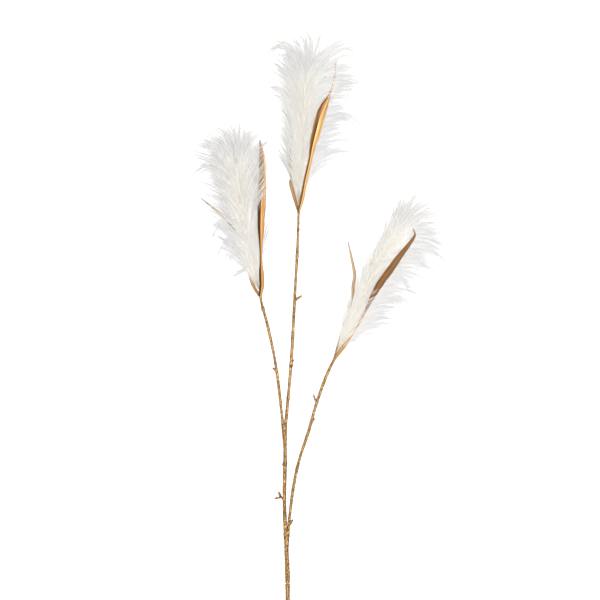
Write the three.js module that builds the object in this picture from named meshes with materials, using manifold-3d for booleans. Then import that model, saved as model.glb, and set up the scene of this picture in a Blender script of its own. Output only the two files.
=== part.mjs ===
// A spray of dried reed grass: three white plumes and six gilded leaves on gilded, wrapped stems.
// It lies on its side. Millimetres, +Y from the cut end to the plumes, +X to the right plume, +Z up.
import * as THREE from "three";
import { mergeVertices } from "three/addons/utils/BufferGeometryUtils.js";
import Module from "manifold-3d";

const wasm = await Module();
wasm.setup();

const UP = new THREE.Vector3(0, 0, 1);
const DOWN = new THREE.Vector3(0, 0, -1);
const DROOP_DIRECTION = new THREE.Vector3(0, -1, 0);
const GOLDEN_ANGLE = Math.PI * (3 - Math.sqrt(5));

// Driving sizes.
const AXIS_HEIGHT = 24; // the plumes' own axes run level at this height
const CROWN = 30; // the hair above the axis is pressed towards this height over it
const PRESS = 1.45; // how hard the hair below the axis is pressed on the surface
const FIT = 0.3; // gap between two pieces that touch
const SMOOTHED_AWAY = 0.05; // slivers left by the joining that are finer than this go
const MERGED_WITHIN = 1e-4; // corners nearer to each other than this are one
const BUTT_RADIUS = 3.1;
const CUT_END = -497;
const RISE_END = -97; // the stems climb from the cut end and run level past this Y

// Plume sockets in the tops of the stems.
const PEG_RADIUS = 1.3;
const PEG_DEPTH = 8;
const PEG_SIDES = 12;
const CUP_WALL = 1.1;
const CUP_RADIUS = PEG_RADIUS + FIT + CUP_WALL;
const CUP_LENGTH = 12;
const CUP_LIP = 1.5; // how far the cup stands past the foot of the plume
const SOCKET_SIDES = 14;

// Twist of the wrapping round each stem.
const STEM_SIDES = 8;
const RIDGE_EVERY = 4; // each fourth corner of the section is a ridge
const RIDGE = 0.08; // share by which a ridge stands proud
const STATION = 14; // spacing of the sections
const CLOSEST_STATIONS = 1.2;
const TWIST = THREE.MathUtils.degToRad(30); // turn of the wrapping between two sections

// The joint between the lower stem and the main stem.
const LOWER_STEM_TOP = -429;
const MAIN_STEM_FOOT = -427.5;
const FOOT_PEG_RADIUS = 1.5;
const FOOT_PEG_DEPTH = 15;

// Twigs.
const TWIG_SIDES = 5;

// Plumes.
const LOCKS = 68;
const FIRST_ROOT = 0.03; // share of the axis below the lowest root
const OUTER_SHARE = 0.5; // share of the locks that reach into the fringe, the rest fill the middle
const OUTER_SPREAD = [0.78, 1]; // share of the cone that a lock keeps
const INNER_SPREAD = [0.47, 0.74];
const INNER_LENGTH = 0.78;
const INNER_WIDTH = 1.2;
const WISP_WIDTH = 0.8;
const WISP_REACH = 0.92; // share of a wisp's line that its lock covers
const LENGTH_RANGE = [0.7, 0.83];
const DROOP_RANGE = [0.95, 1.05];
const GROWTH_STEPS = 40;
const ROOT_OFFSET = 1; // how far from the axis a lock starts, inside the core
const CORE_RINGS = 12;
const CORE_END = 0.98; // share of the axis that the core covers
const CORE_RADII = [[0, 2.2], [0.12, 3.4], [0.35, 5.1], [0.7, 4.8], [0.9, 3], [1, 1.2]]; // [share, radius]
const CORE_SIDES = 8;
const LOCK_STATIONS = [0, 0.3, 0.68, 1];
const LOCK_WIDTHS = [1.8, 5, 4.6, 1.2];
const LOCK_THICKNESS = [1.4, 1.3, 1.2, 0.8];
const LAID_FLAT_BELOW = 6; // nearer the surface than this a lock turns its broad side down
const PARTING_HEIGHT = AXIS_HEIGHT + 12; // a leaf above this presses the hair under it down
const PARTING_MARGIN = 2.5;

// Leaves.
const LEAF_THICKNESS = 0.9;
const RIB = 0.22; // height of the lengthwise ribs

const STEM_GOLD = 0xc9973a;
const LEAF_GOLD = 0xb07a22;
const HAIR_WHITE = 0xefe9dc;

// Repeatable value from 0 to 1 for item i of a set.
function noise(i, set) {
  const v = Math.sin(i * 12.9898 + set * 78.233) * 43758.5453;
  return v - Math.floor(v);
}

function mix(a, b, t) {
  return a + (b - a) * t;
}

// Value at x between the points of a list of [x, value].
function between(list, x) {
  if (x <= list[0][0]) return list[0][1];
  for (let i = 1; i < list.length; i++) {
    const [x0, v0] = list[i - 1];
    const [x1, v1] = list[i];
    if (x <= x1) return mix(v0, v1, (x - x0) / (x1 - x0));
  }
  return list[list.length - 1][1];
}

// Closed solid through a row of rings, each ring a list of corners in the same order.
function solidOfRings(rings) {
  const sides = rings[0].length;
  const corners = rings.flat();
  const position = new Float32Array(corners.flatMap((p) => [p.x, p.y, p.z]));
  const index = [];
  for (let r = 0; r + 1 < rings.length; r++) {
    for (let i = 0; i < sides; i++) {
      const a = r * sides + i;
      const b = r * sides + ((i + 1) % sides);
      index.push(a, b, b + sides, a, b + sides, a + sides);
    }
  }
  capOf(rings[0]).forEach(([a, b, c]) => index.push(a, c, b));
  const last = (rings.length - 1) * sides;
  capOf(rings[rings.length - 1]).forEach(([a, b, c]) => index.push(last + a, last + b, last + c));
  const made = manifoldOf(position, new Uint32Array(index));
  return made.volume() < 0 ? manifoldOf(position, new Uint32Array(index.reverse())) : made;
}

// Triangles of a ring: strips between its two halves suit a round section and a folded leaf alike.
function capOf(ring) {
  const n = ring.length;
  const out = [];
  let low = 0;
  let high = n - 1;
  while (high - low > 1) {
    out.push([low, low + 1, high]);
    low += 1;
    if (high - low > 1) out.push([low, high - 1, high]);
    high -= 1;
  }
  return out;
}

function manifoldOf(position, triVerts) {
  return new wasm.Manifold(new wasm.Mesh({ numProp: 3, vertProperties: position, triVerts }));
}

function geometryOf(solid) {
  const mesh = mainBody(solid.simplify(SMOOTHED_AWAY)).getMesh();
  const geometry = new THREE.BufferGeometry();
  geometry.setAttribute("position", new THREE.BufferAttribute(new Float32Array(mesh.vertProperties), 3));
  geometry.setIndex(new THREE.BufferAttribute(new Uint32Array(mesh.triVerts), 1));
  return mergeVertices(geometry, MERGED_WITHIN);
}

function fused(solids) {
  return solids.reduce((sum, next) => sum.add(next));
}

// The biggest body of a solid: what a cut leaves loose is dropped.
function mainBody(solid) {
  return solid.decompose().reduce((best, next) => (next.volume() > best.volume() ? next : best));
}

// Round rings along points. The twist makes the ridges of a wrapped stem.
function roundRings(points, radii, sides, ridge = 0, twist = 0) {
  return points.map((p, i) => {
    const before = points[Math.max(0, i - 1)];
    const after = points[Math.min(points.length - 1, i + 1)];
    const along = after.clone().sub(before).normalize();
    const side = new THREE.Vector3().crossVectors(along, UP).normalize();
    const up = new THREE.Vector3().crossVectors(side, along);
    return Array.from({ length: sides }, (_, k) => {
      const angle = (2 * Math.PI * k) / sides + twist * i;
      const radius = radii[i] * (k % RIDGE_EVERY === 0 ? 1 + ridge : 1 - ridge / 2);
      return p
        .clone()
        .addScaledVector(side, radius * Math.cos(angle))
        .addScaledVector(up, radius * Math.sin(angle));
    });
  });
}

function rod(points, radii, sides) {
  return solidOfRings(roundRings(points, radii, sides));
}

// Height of the stems over the surface at a given Y.
function stemHeight(y) {
  const t = THREE.MathUtils.clamp((y - CUT_END) / (RISE_END - CUT_END), 0, 1);
  return mix(BUTT_RADIUS * (1 + RIDGE), AXIS_HEIGHT, t * t * (3 - 2 * t));
}

function onStem(x, y, dz = 0) {
  return new THREE.Vector3(x, y, stemHeight(y) + dz);
}

// Stem lines as [y, x], and stem radii as [y, radius], both from the cut end up.
const MAIN_LINE = [
  [CUT_END, -19.4], [-450, -19.2], [-408, -19.7], [-352, -22.3], [-303, -24.1], [-240, -23], [-195, -22.6],
  [-156, -19.2], [-93, -13.8], [-30, -10.2], [22, -7.5], [85, -4], [139.5, -2.5],
];
const MAIN_RADII = [
  [-427, 2.8], [-421, 3.2], [-380, 3.2], [-366, 2.55], [-200, 2.45], [-190, 2], [-60, 2],
  [60, 1.75], [139.5, 1.5],
];
const LEFT_LINE = [
  [-207, -24.9], [-193, -26.2], [-177, -27.4], [-156, -29.6], [-114, -34.5], [-72, -41.7], [-30, -51.3],
  [-9, -57.2], [12, -61.6],
];
const LEFT_RADII = [[-194, 1.2], [-188, 1.8], [-9, 1.85], [12, 1.65]];
const RIGHT_LINE = [
  [-366, -20], [-351, -18.6], [-345, -17.8], [-324, -16], [-282, -10.6], [-240, -1.6], [-198, 12],
  [-156, 24], [-114, 38.9], [-82.5, 53.9],
];
const RIGHT_RADII = [[-354, 1.25], [-347, 1.8], [-324, 2], [-240, 2], [-114, 1.95], [-82.5, 1.7]];

// Swellings of the stems: [y, added radius, half length].
const MAIN_NODES = [
  [-412, 0.6, 2], [-397, 0.35, 3], [-245, 0.5, 4], [-147, 0.6, 2.5], [-98, 0.5, 2.5], [-56, 0.6, 3],
  [-50, 0.5, 3], [66, 0.5, 4], [106, 0.6, 1.5],
];
const LEFT_NODES = [[-153, 0.5, 2.5], [-108, 0.3, 3], [-13, 0.9, 2.5]];
const RIGHT_NODES = [[-253, 0.5, 3], [-182, 0.3, 3], [-154, 0.4, 3]];

// A wrapped stem along a line, from one Y to another, with its swellings.
function wrappedStem(line, radii, nodes, from, to) {
  const stations = new Set([from, to]);
  for (let y = from + STATION; y < to - STATION / 2; y += STATION) stations.add(y);
  nodes.forEach(([y, , half]) => [-half, 0, half].forEach((d) => stations.add(y + d)));
  const ys = [...stations]
    .filter((y) => y >= from && y <= to)
    .sort((a, b) => a - b)
    .filter((y, i, all) => i === 0 || y - all[i - 1] > CLOSEST_STATIONS || y === to);
  const points = ys.map((y) => onStem(between(line, y), y));
  const widths = ys.map((y) => {
    const swell = nodes.reduce((sum, [at, add, half]) => sum + add * Math.exp(-(((y - at) / half) ** 2)), 0);
    return between(radii, y) + swell;
  });
  return solidOfRings(roundRings(points, widths, STEM_SIDES, RIDGE, TWIST));
}

// A wrapped sleeve round two stems that run side by side: rows of [y, x, half width, half height].
function sleeve(rows) {
  const rings = rows.map(([y, x, halfWidth, halfHeight]) =>
    Array.from({ length: SOCKET_SIDES }, (_, k) => {
      const angle = (2 * Math.PI * k) / SOCKET_SIDES;
      return onStem(x + halfWidth * Math.cos(angle), y, halfHeight * Math.sin(angle));
    }),
  );
  return solidOfRings(rings);
}

// The room that a branch's foot takes in the sleeve.
function branchSocket(line, radii, from, to) {
  const ys = [from - FIT];
  for (let y = from + 5; y <= to; y += 5) ys.push(y);
  const points = ys.map((y) => onStem(between(line, y), y));
  const widths = ys.map((y) => (between(radii, y) + FIT) * (1 + RIDGE));
  return rod(points, widths, SOCKET_SIDES);
}

// A short side twig or bud: rows of [x, y, height over the stem, radius], foot first.
function twig(rows) {
  return rod(rows.map(([x, y, rise]) => onStem(x, y, rise)), rows.map((row) => row[3]), TWIG_SIDES);
}

// Plumes. The cone is the widest angle between a lock and the axis, at the foot and at the top. The
// wisps are longer locks: share of the axis at the root, then points of [x, y, height over the axis].
const PLUMES = {
  left: {
    axis: [[-61.5, 12], [-72.5, 60], [-82, 110], [-90, 152], [-96, 192]],
    cone: [19, 42],
    wing: 0,
    droop: [0.012, 0.0095],
    length: [104, 112],
    set: 11,
    wisps: [
      [0.3, [-90, 84, 8], [-110, 46, 4]],
      [0.38, [-102, 100, 8], [-126, 62, 2]],
      [0.45, [-112, 118, 4], [-136, 86, 0]],
      [0.9, [-84, 232, 8], [-60, 250, 6]],
      [0.95, [-97, 240, 6], [-112, 268, 2]],
      [0.95, [-108, 240, 4], [-134, 262, 2]],
      [0.92, [-126, 230, -2], [-158, 236, -6]],
      [0.85, [-128, 204, 4], [-162, 190, -2]],
    ],
  },
  centre: {
    axis: [[-2.5, 139.5], [-2, 180], [1, 225], [4, 270], [7, 316]],
    cone: [22, 44],
    wing: 0.14,
    droop: [0.0145, 0.0125],
    length: [116, 120],
    set: 22,
    wisps: [
      [0.82, [-6, 345, 19], [-54, 378, 12]],
      [0.7, [-16, 326, 16], [-50, 348, 10]],
      [0.97, [2, 374, 8], [-16, 402, 2]],
      [0.97, [14, 380, 4], [8, 412, 0]],
      [0.97, [22, 376, 2], [30, 410, 0]],
      [0.95, [30, 378, 10], [66, 392, 4]],
      [0.92, [44, 366, 12], [84, 380, 4]],
      [0.88, [50, 348, 10], [86, 360, 2]],
      [0.7, [54, 314, 4], [82, 322, 0]],
      [0.52, [50, 272, 0], [78, 268, -6]],
      [0.58, [-22, 304, 12], [-50, 318, 4]],
    ],
  },
  right: {
    axis: [[53.9, -82.5], [71, -44], [91, 0], [114, 46], [140, 92]],
    cone: [23, 33],
    wing: 0.2,
    droop: [0.0105, 0.0125],
    length: [98, 110],
    set: 33,
    wisps: [
      [0.97, [160, 142, 6], [186, 160, 4]],
      [0.97, [182, 128, 12], [216, 114, 6]],
      [0.96, [150, 138, 2], [152, 164, 0]],
      [0.97, [170, 138, 8], [204, 142, 4]],
      [0.8, [164, 66, 6], [190, 44, 2]],
      [0.68, [146, 36, 6], [168, 8, 2]],
    ],
  },
};

function axisCurve(plume) {
  return new THREE.CatmullRomCurve3(plume.axis.map(([x, y]) => new THREE.Vector3(x, y, AXIS_HEIGHT)));
}

// Height of a hair that would stand free at z, once the spray lies on its surface.
function pressed(z) {
  const dz = z - AXIS_HEIGHT;
  if (dz >= 0) return AXIS_HEIGHT + CROWN * (1 - Math.exp(-dz / CROWN));
  return Math.max(0, AXIS_HEIGHT * (1 - PRESS * (1 - Math.exp(dz / AXIS_HEIGHT))));
}

// One lock of hair. Its root lies along the axis by its number, its azimuth by the golden angle.
function lockOfHair(plume, curve, leafSpine, i) {
  const f = mix(FIRST_ROOT, 1, (i + 0.5) / LOCKS);
  const azimuth = i * GOLDEN_ANGLE;
  const lean = 1 + plume.wing * Math.cos(azimuth);
  const outer = noise(i, plume.set + 3) < OUTER_SHARE;
  const spread = mix(...(outer ? OUTER_SPREAD : INNER_SPREAD), noise(i, plume.set));
  const cone = THREE.MathUtils.degToRad(mix(...plume.cone, f)) * spread * lean;
  const along = curve.getTangentAt(f);
  const side = new THREE.Vector3().crossVectors(along, UP).normalize();
  const out = side.multiplyScalar(Math.cos(azimuth)).addScaledVector(UP, Math.sin(azimuth));
  const reach = (outer ? 1 : INNER_LENGTH) * lean;
  const length = mix(...plume.length, f) * mix(...LENGTH_RANGE, noise(i, plume.set + 1)) * reach;
  const droop = mix(...plume.droop, f) * mix(...DROOP_RANGE, noise(i, plume.set + 2)) * lean;
  const heading = along.clone().multiplyScalar(Math.cos(cone)).addScaledVector(out, Math.sin(cone));
  const root = curve.getPointAt(f).addScaledVector(out, ROOT_OFFSET);
  const line = grownLine(root, heading, length, droop).map((p) => laid(p, leafSpine));
  return solidOfRings(lockRings(line, out, outer ? 1 : INNER_WIDTH));
}

// A longer lock that stands out of the outline.
function wispOfHair(curve, [share, ...points], leafSpine) {
  const spots = points.map(([x, y, rise]) => new THREE.Vector3(x, y, AXIS_HEIGHT + rise));
  const bow = new THREE.CatmullRomCurve3([curve.getPointAt(share), ...spots]);
  const line = LOCK_STATIONS.map((s) => laid(bow.getPoint(s * WISP_REACH), leafSpine));
  return solidOfRings(lockRings(line, UP, WISP_WIDTH));
}

// Where a point of the free hair ends up, once the spray lies on its surface.
function laid(p, leafSpine) {
  return parted(new THREE.Vector3(p.x, p.y, pressed(p.z)), leafSpine);
}

// Points of a hair that leaves along a heading and bends towards the droop direction as it goes.
function grownLine(start, heading, length, droop) {
  const step = length / GROWTH_STEPS;
  const p = start.clone();
  const v = heading.clone();
  const line = [p.clone()];
  for (let k = 1; k <= GROWTH_STEPS; k++) {
    p.addScaledVector(v, step);
    const pull = DROOP_DIRECTION.clone().addScaledVector(v, -v.dot(DROOP_DIRECTION));
    v.addScaledVector(pull, droop * step).normalize();
    line.push(p.clone());
  }
  return LOCK_STATIONS.map((s) => line[Math.round(s * GROWTH_STEPS)]);
}

// A point that a broad leaf lies on is pressed down under the leaf.
function parted(p, leafSpine) {
  for (const station of leafSpine) {
    const near = Math.hypot(p.x - station.x, p.y - station.y) < station.half + PARTING_MARGIN;
    if (near && station.z > PARTING_HEIGHT) p.z = Math.min(p.z, station.z - PARTING_MARGIN - LEAF_THICKNESS);
  }
  return p;
}

// Three corners round each point: the broad side faces out, or down where the lock lies on the surface.
function lockRings(line, out, widening) {
  return line.map((p, i) => {
    const before = line[Math.max(0, i - 1)];
    const after = line[Math.min(line.length - 1, i + 1)];
    const along = after.clone().sub(before).normalize();
    const flat = THREE.MathUtils.clamp(1 - p.z / LAID_FLAT_BELOW, 0, 1);
    const facing = out.clone().lerp(DOWN, flat).normalize();
    const across = new THREE.Vector3().crossVectors(along, facing).normalize();
    const outward = new THREE.Vector3().crossVectors(across, along).normalize();
    const half = (LOCK_WIDTHS[i] * widening) / 2;
    const ring = [
      p.clone().addScaledVector(across, half),
      p.clone().addScaledVector(across, -half),
      p.clone().addScaledVector(outward, -LOCK_THICKNESS[i]),
    ];
    ring.forEach((corner) => (corner.z = Math.max(0, corner.z)));
    return ring;
  });
}

// A slim core with all its locks fused on, cut free of the two leaves that run through it.
function plumeSolid(plume, leaves) {
  const curve = axisCurve(plume);
  const shares = Array.from({ length: CORE_RINGS + 1 }, (_, k) => k / CORE_RINGS);
  const points = shares.map((share) => curve.getPointAt(share * CORE_END));
  const core = rod(points, shares.map((share) => between(CORE_RADII, share)), CORE_SIDES);
  const spine = leafSpine(leaves[0]);
  const locks = Array.from({ length: LOCKS }, (_, i) => lockOfHair(plume, curve, spine, i));
  locks.push(...plume.wisps.map((wisp) => wispOfHair(curve, wisp, spine)));
  const peg = footRod(plume, [-PEG_DEPTH, CUP_LIP + 2 * FIT], [PEG_RADIUS, PEG_RADIUS], PEG_SIDES);
  const hair = fused([core, ...locks]).subtract(cupSolid(plume, FIT)).add(peg);
  const leafRoom = fused(leaves.map((leaf) => leafSolid(leaf, FIT)));
  return mainBody(hair.subtract(leafRoom));
}

// A straight rod along the foot of a plume's axis, from distances along it.
function footRod(plume, distances, radii, sides) {
  const curve = axisCurve(plume);
  const foot = curve.getPointAt(0);
  const along = curve.getTangentAt(0);
  return rod(distances.map((d) => foot.clone().addScaledVector(along, d)), radii, sides);
}

// The cup on a stem's top that holds the foot of a plume, or the room round it.
function cupSolid(plume, grow) {
  const distances = [-CUP_LENGTH - grow, -0.6 * CUP_LENGTH, -0.25 * CUP_LENGTH, CUP_LIP + grow];
  const radii = [0.6, 0.75, 1, 0.93].map((share) => share * CUP_RADIUS + grow);
  return footRod(plume, distances, radii, SOCKET_SIDES);
}

function cupSocket(plume) {
  const radius = PEG_RADIUS + FIT;
  return footRod(plume, [-PEG_DEPTH - FIT, CUP_LIP + 2 * FIT], [radius, radius], SOCKET_SIDES);
}

// Leaves: rows of [x, y, height over the axis, half width, fold depth], foot first. The broad leaves
// lie over their plume with the fold up, the narrow ones run under it with the fold down.
const LEAVES = {
  left_broad: {
    fold: 1,
    rows: [
      [-60.2, 5, 3.9, 1.9, 1.6], [-58, 21, 5.5, 3.6, 2], [-58.2, 36, 9, 3.8, 2], [-59, 60, 14, 2, 1.2],
      [-59, 84, 17.5, 2.6, 1.6], [-58.8, 116, 21, 5.4, 2.8], [-57.4, 160, 20, 5.9, 3],
      [-56.7, 195, 16, 5.6, 2.4], [-57.6, 218, 13, 3.8, 1.6], [-60.6, 239, 11, 0.7, 0.4],
    ],
  },
  left_narrow: {
    fold: -1,
    rows: [
      [-61.8, 6, -4, 1.8, 1.4], [-73.4, 29, -6, 2.6, 1.4], [-85, 84, -4, 2.4, 1], [-97, 104, 2, 2.2, 0.9],
      [-112.8, 123, 6, 1.9, 0.7], [-149, 152.5, 8, 0.6, 0.3],
    ],
  },
  centre_broad: {
    fold: 1,
    rows: [
      [-2.2, 133, 3.9, 1.9, 1.6], [3.2, 155, 8, 3.3, 2], [8.2, 182, 13, 3, 1.8], [14.4, 209, 18.5, 3, 1.8],
      [18.5, 230, 21, 4.8, 2.6], [24.6, 254, 23, 6.6, 3], [30.5, 276, 24, 6.7, 3], [36.5, 291, 22.5, 5, 2.2],
      [45, 309, 19.5, 1.6, 0.8], [51, 334, 14.5, 1.1, 0.5], [53.4, 358, 11, 0.6, 0.3],
    ],
  },
  centre_narrow: {
    fold: -1,
    rows: [
      [-3.4, 134, -4, 1.8, 1.4], [-13.3, 171, -5, 3.2, 1.4], [-12.6, 184, 0, 3, 1.4], [-15, 201, 3, 2.4, 1],
      [-14.9, 220, 2, 1.6, 0.8], [-12.5, 246, 0, 0.6, 0.3],
    ],
  },
  right_broad: {
    fold: 1,
    rows: [
      [52.4, -87, 3.9, 1.9, 1.6], [64.5, -70, 7, 2.8, 1.8], [75, -54, 10, 1.9, 1.4],
      [87.5, -34, 13.5, 1.6, 1], [98, -14, 16.5, 2, 1.2], [110.5, 11, 20, 4.2, 2.2],
      [121, 28, 22, 5.3, 2.6], [133.5, 45, 22.5, 5.1, 2.4], [148, 65.5, 21, 4.3, 1.8],
      [162, 83, 18, 2.9, 1.1], [170.5, 96.5, 16, 1.6, 0.8], [168.2, 106.5, 15, 0.6, 0.3],
    ],
  },
  right_narrow: {
    fold: -1,
    rows: [
      [51.4, -87.5, -4, 1.8, 1.4], [61.4, -52, -5, 2.2, 1.2], [77, -6, -3, 2, 0.9], [79.2, 22, 2, 2.3, 0.9],
      [81.3, 38.6, 4, 2.4, 0.9], [76.4, 64, 7, 1.7, 0.6], [70.8, 89, 9, 0.6, 0.3],
    ],
  },
};

// Points along a leaf with its half width and fold there, at even steps between its rows.
function leafSpine(leaf, perRow = 3) {
  const curve = new THREE.CatmullRomCurve3(
    leaf.rows.map(([x, y, rise]) => new THREE.Vector3(x, y, AXIS_HEIGHT + rise)),
    false,
    "catmullrom",
    0.5,
  );
  const last = leaf.rows.length - 1;
  return Array.from({ length: last * perRow + 1 }, (_, k) => {
    const row = Math.min(Math.floor(k / perRow), last - 1);
    const t = k / perRow - row;
    const p = curve.getPoint(k / (last * perRow));
    p.half = mix(leaf.rows[row][3], leaf.rows[row + 1][3], t);
    p.depth = mix(leaf.rows[row][4], leaf.rows[row + 1][4], t);
    return p;
  });
}

// A folded leaf with ribs along it, grown by a margin for the room that it takes.
function leafSolid(leaf, grow = 0) {
  const broad = leaf.fold > 0;
  const spine = leafSpine(leaf, broad ? 2 : 3);
  const steps = broad ? 3 : 1; // strips on each half
  const rings = spine.map((p, i) => {
    const before = spine[Math.max(0, i - 1)];
    const after = spine[Math.min(spine.length - 1, i + 1)];
    const along = after.clone().sub(before).normalize();
    const side = new THREE.Vector3().crossVectors(along, UP).normalize();
    const up = new THREE.Vector3().crossVectors(side, along);
    const outer = [];
    const inner = [];
    for (let k = -steps; k <= steps; k++) {
      const s = k / steps;
      const wave = broad && Math.abs(k) % 2 === 1 ? RIB : 0;
      const height = leaf.fold * (p.depth * (0.5 - Math.abs(s)) + wave);
      const x = s * (p.half + grow);
      outer.push(place(p, side, up, x, height + LEAF_THICKNESS / 2 + grow));
      inner.push(place(p, side, up, x, height - LEAF_THICKNESS / 2 - grow));
    }
    return [...outer, ...inner.reverse()];
  });
  return solidOfRings(rings);
}

function place(p, side, up, x, y) {
  return p.clone().addScaledVector(side, x).addScaledVector(up, y);
}

// Stems.
function lowerStemSolid() {
  const rim = [[LOWER_STEM_TOP - 2, 0.25, 3]];
  const stem = wrappedStem(MAIN_LINE, [[CUT_END, BUTT_RADIUS]], rim, CUT_END, LOWER_STEM_TOP);
  return stem.subtract(footPeg(FIT));
}

// The peg at the foot of the main stem that goes into the lower stem, or the room round it.
function footPeg(grow) {
  const end = LOWER_STEM_TOP - FOOT_PEG_DEPTH - grow;
  const points = [end, LOWER_STEM_TOP, MAIN_STEM_FOOT + 2].map((y) => onStem(between(MAIN_LINE, y), y));
  return rod(points, points.map(() => FOOT_PEG_RADIUS + grow), SOCKET_SIDES);
}

function mainStemSolid() {
  const stem = wrappedStem(MAIN_LINE, MAIN_RADII, MAIN_NODES, MAIN_STEM_FOOT, PLUMES.centre.axis[0][1]);
  const lowerSleeve = sleeve([
    [-384, -20.8, 3.2, 3.2], [-376, -20.9, 3.3, 3.3], [-367, -20.9, 3.6, 3.4], [-359, -20.9, 4.3, 3.5],
    [-352, -20.8, 4.8, 3.5], [-349, -20.6, 4.6, 3],
  ]);
  const upperSleeve = sleeve([
    [-226, -22.9, 2.4, 2.4], [-212, -23.4, 3.2, 2.9], [-202, -23.9, 3.6, 3], [-191, -24.3, 4.1, 2.8],
    [-188, -24.3, 3.8, 2.4],
  ]);
  const twigs = [
    twig([[-8.6, -1.4, 0, 1.3], [-4.6, 1.9, 0.8, 1.9], [-1, 4.4, 1.3, 1.7], [2.4, 6.8, 1.5, 0.8]]),
    twig([[-10.6, -53, 0, 1.4], [-12.5, -50.2, 0.4, 1]]),
    twig([[-13.6, -93.5, 0, 1.1], [-11.2, -91.4, 1.6, 1.2], [-9.6, -89.4, 2.4, 0.9]]),
    twig([[-14.4, -96.5, 0, 1], [-17, -98.2, 0.5, 0.7]]),
    twig([[-12.6, -97.6, 0, 0.9], [-10.8, -99.6, 0.6, 0.7]]),
    twig([[-23.6, -303, 0, 1.2], [-27.6, -298, 0.8, 1.3], [-31, -293, 1.3, 1.8], [-32.3, -288.6, 1.5, 1]]),
    twig([[-29, -297, 1, 1.2], [-34.4, -297.8, 1.4, 1.6], [-38.9, -298.6, 1.6, 0.9]]),
    twig([[-22.8, -252, 0, 1.3], [-25.2, -248.8, 0.5, 1.7], [-27.4, -246.2, 0.8, 0.8]]),
  ];
  return fused([stem, lowerSleeve, upperSleeve, footPeg(0), cupSolid(PLUMES.centre, 0), ...twigs])
    .subtract(branchSocket(LEFT_LINE, LEFT_RADII, -207, -182))
    .subtract(branchSocket(RIGHT_LINE, RIGHT_RADII, -366, -340))
    .subtract(cupSocket(PLUMES.centre));
}

function leftBranchSolid() {
  const stem = wrappedStem(LEFT_LINE, LEFT_RADII, LEFT_NODES, -207, 12);
  const spur = twig([[-35.8, -107, 0, 1.4], [-38.6, -104.4, 0.6, 1.7], [-41.9, -101.5, 1, 0.8]]);
  return fused([stem, cupSolid(PLUMES.left, 0), spur]).subtract(cupSocket(PLUMES.left));
}

function rightBranchSolid() {
  const stem = wrappedStem(RIGHT_LINE, RIGHT_RADII, RIGHT_NODES, -366, -82.5);
  const twigs = [
    twig([[25.2, -155.5, 0, 1.3], [22.2, -149.5, 0.7, 1.6], [20.6, -145, 1, 1.2], [19.3, -140.8, 1.2, 0.6]]),
    twig([[16.8, -183, 0, 1.4], [19.4, -180, 0.6, 1.6], [21.7, -177.6, 0.9, 0.8]]),
    twig([[-5, -254.4, 0, 1.1], [-7.4, -252.6, 0.4, 0.8]]),
    twig([[-16.4, -339, 0, 1.4], [-14, -334.8, 0.7, 2], [-11.2, -330.8, 1, 1.1]]),
  ];
  return fused([stem, cupSolid(PLUMES.right, 0), ...twigs]).subtract(cupSocket(PLUMES.right));
}

// A leaf keeps clear of the cup that it clasps.
function claspingLeaf(leaf, plume) {
  return mainBody(leafSolid(leaf).subtract(cupSolid(plume, FIT)));
}

function gold(colour) {
  return new THREE.MeshStandardMaterial({ color: colour, metalness: 1, roughness: 0.42 });
}

function hair() {
  return new THREE.MeshStandardMaterial({ color: HAIR_WHITE, metalness: 0, roughness: 0.85 });
}

function piece(name, solid, material) {
  const mesh = new THREE.Mesh(geometryOf(solid), material);
  mesh.name = name;
  return mesh;
}

const pieces = new THREE.Group();
pieces.add(piece("lower_stem", lowerStemSolid(), gold(STEM_GOLD)));
pieces.add(piece("main_stem", mainStemSolid(), gold(STEM_GOLD)));
pieces.add(piece("left_branch", leftBranchSolid(), gold(STEM_GOLD)));
pieces.add(piece("right_branch", rightBranchSolid(), gold(STEM_GOLD)));
for (const side of ["left", "centre", "right"]) {
  const leaves = [LEAVES[side + "_broad"], LEAVES[side + "_narrow"]];
  pieces.add(piece("plume_" + side, plumeSolid(PLUMES[side], leaves), hair()));
  pieces.add(piece("leaf_" + side + "_broad", claspingLeaf(leaves[0], PLUMES[side]), gold(LEAF_GOLD)));
  pieces.add(piece("leaf_" + side + "_narrow", claspingLeaf(leaves[1], PLUMES[side]), gold(LEAF_GOLD)));
}

// The origin is under the middle of the whole spray, on the surface that it lies on.
const box = new THREE.Box3().setFromObject(pieces);
const middle = box.getCenter(new THREE.Vector3());
pieces.position.set(-middle.x, -middle.y, -box.min.z);

const spray = new THREE.Group();
spray.name = "reed_spray";
spray.add(pieces);

export default spray;
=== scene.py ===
"""A spray of dried reed grass lying on a pale floor, seen from above.

The lines of the stems, leaves and plumes are those of the CAD model, in its own millimetres.
"""

import math

import bpy
import numpy as np
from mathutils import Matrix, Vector


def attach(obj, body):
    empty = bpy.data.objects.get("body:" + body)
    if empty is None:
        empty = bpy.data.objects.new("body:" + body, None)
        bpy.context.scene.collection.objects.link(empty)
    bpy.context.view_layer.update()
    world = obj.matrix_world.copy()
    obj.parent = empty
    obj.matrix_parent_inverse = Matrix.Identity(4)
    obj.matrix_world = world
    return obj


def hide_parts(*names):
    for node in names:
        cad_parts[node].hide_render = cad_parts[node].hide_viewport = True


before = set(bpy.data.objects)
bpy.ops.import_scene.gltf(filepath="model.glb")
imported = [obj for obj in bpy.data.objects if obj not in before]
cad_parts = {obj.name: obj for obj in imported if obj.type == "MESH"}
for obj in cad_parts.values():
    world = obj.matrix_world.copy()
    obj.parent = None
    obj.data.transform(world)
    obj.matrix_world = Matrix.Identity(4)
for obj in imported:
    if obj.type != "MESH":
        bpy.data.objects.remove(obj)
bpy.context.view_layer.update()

# Driving dimensions.
MM = 1000  # in a metre
AXIS_HEIGHT = 24.0  # of the plumes' axes over the floor
CROWN = 30.0  # the hair rises less than this over an axis
PRESS = 1.45  # how hard the hair under an axis is pressed towards the floor
LOWEST_LINE = 0.3  # height of the lowest hair's middle
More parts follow.
